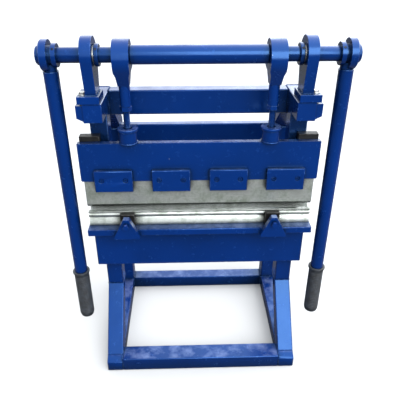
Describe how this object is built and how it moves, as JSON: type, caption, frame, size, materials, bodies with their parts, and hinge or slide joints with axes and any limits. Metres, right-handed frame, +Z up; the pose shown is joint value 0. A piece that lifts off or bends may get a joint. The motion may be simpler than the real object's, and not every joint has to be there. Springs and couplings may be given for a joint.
{
  "type": "sheet metal brake",
  "caption": "Hand-operated press brake: hanging levers turn an eccentric shaft whose connecting rods drive a ram and punch down onto a grooved die on a welded stand.",
  "frame": {"origin": "the middle of the base rectangle, on the floor", "axes": "+X to the operator's right along the shaft and the ram, +Y away from the operator, +Z up; the working side faces -Y"},
  "size_m": [0.724, 0.417, 0.9159],
  "materials": {
    "blue_enamel": "brushed-on gloss enamel over welded steel",
    "tool_steel": "ground tool steel with light storage marks",
    "black_steel": "blackened steel with an oily film",
    "grip_rubber": "moulded rubber",
    "plated_steel": "zinc plated"
  },
  "bodies": {
    "frame": {"front_column_left": "blue_enamel", "front_leg_left": "blue_enamel", "floor_rail_left": "blue_enamel", "rear_post_left": "blue_enamel", "rear_brace_left": "blue_enamel", "top_rail_left": "blue_enamel", "pedestal_left": "blue_enamel", "pedestal_bush_left": "plated_steel", "foot_bolt_left": "plated_steel", "die_clamp_block_left": "black_steel", "die_clamp_bracket_left": "blue_enamel", "die_clamp_screw_left": "blue_enamel", "front_column_right": "blue_enamel", "front_leg_right": "blue_enamel", "floor_rail_right": "blue_enamel", "rear_post_right": "blue_enamel", "rear_brace_right": "blue_enamel", "top_rail_right": "blue_enamel", "pedestal_right": "blue_enamel", "pedestal_bush_right": "plated_steel", "foot_bolt_right": "plated_steel", "die_clamp_block_right": "black_steel", "die_clamp_bracket_right": "blue_enamel", "die_clamp_screw_right": "blue_enamel", "top_crossbeam": "blue_enamel", "rear_beam": "blue_enamel", "rear_floor_tube": "blue_enamel", "front_floor_tube": "blue_enamel", "bed_plate": "blue_enamel", "apron_beam": "blue_enamel", "lower_die": "tool_steel"},
    "shaft": {"eccentric_shaft": "blue_enamel", "shaft_sleeve": "blue_enamel", "shaft_collar_left": "blue_enamel", "lever_hub_left": "blue_enamel", "lever_tube_left": "blue_enamel", "lever_grip_left": "grip_rubber", "shaft_collar_right": "blue_enamel", "lever_hub_right": "blue_enamel", "lever_tube_right": "blue_enamel", "lever_grip_right": "grip_rubber"},
    "ram": {"ram_plate": "blue_enamel", "punch": "tool_steel", "punch_clamp_1": "blue_enamel", "punch_clamp_2": "blue_enamel", "punch_clamp_3": "blue_enamel", "punch_clamp_4": "blue_enamel", "ram_socket_left": "blue_enamel", "socket_cap_left": "blue_enamel", "guide_shoe_left": "black_steel", "ram_socket_right": "blue_enamel", "socket_cap_right": "blue_enamel", "guide_shoe_right": "black_steel"},
    "rod_left": {"con_rod_left": "blue_enamel", "lock_nut_left": "blue_enamel"},
    "screw_left": {"adjusting_screw_left": "blue_enamel"},
    "rod_right": {"con_rod_right": "blue_enamel", "lock_nut_right": "blue_enamel"},
    "screw_right": {"adjusting_screw_right": "blue_enamel"}
  },
  "joints": [
    {"name": "shaft_turn", "type": "hinge", "parent": "frame", "child": "shaft", "pos_m": [0, -0.0923, 0.8745], "axis": [-1, 0, 0], "range_deg": [0, 100]},
    {"name": "ram_slide", "type": "slide", "parent": "frame", "child": "ram", "axis": [0, 0, 1], "range_m": [0, 0.009]},
    {"name": "rod_pivot_left", "type": "hinge", "parent": "shaft", "child": "rod_left", "pos_m": [-0.174, -0.0923, 0.8665], "axis": [-1, 0, 0], "range_deg": [-103.5, 0]},
    {"name": "screw_turn_left", "type": "hinge", "parent": "rod_left", "child": "screw_left", "pos_m": [-0.174, -0.0923, 0.6936], "axis": [0, 0, 1], "range_deg": [-180, 180]},
    {"name": "rod_pivot_right", "type": "hinge", "parent": "shaft", "child": "rod_right", "pos_m": [0.174, -0.0923, 0.8665], "axis": [-1, 0, 0], "range_deg": [-103.5, 0]},
    {"name": "screw_turn_right", "type": "hinge", "parent": "rod_right", "child": "screw_right", "pos_m": [0.174, -0.0923, 0.6936], "axis": [0, 0, 1], "range_deg": [-180, 180]}
  ],
  "couplings": [
    {"joint": "ram_slide", "follows": "shaft_turn", "m_per_rad": 0.0048},
    {"joint": "rod_pivot_left", "follows": "shaft_turn", "ratio": -1.0284},
    {"joint": "rod_pivot_right", "follows": "shaft_turn", "ratio": -1.0284}
  ]
}
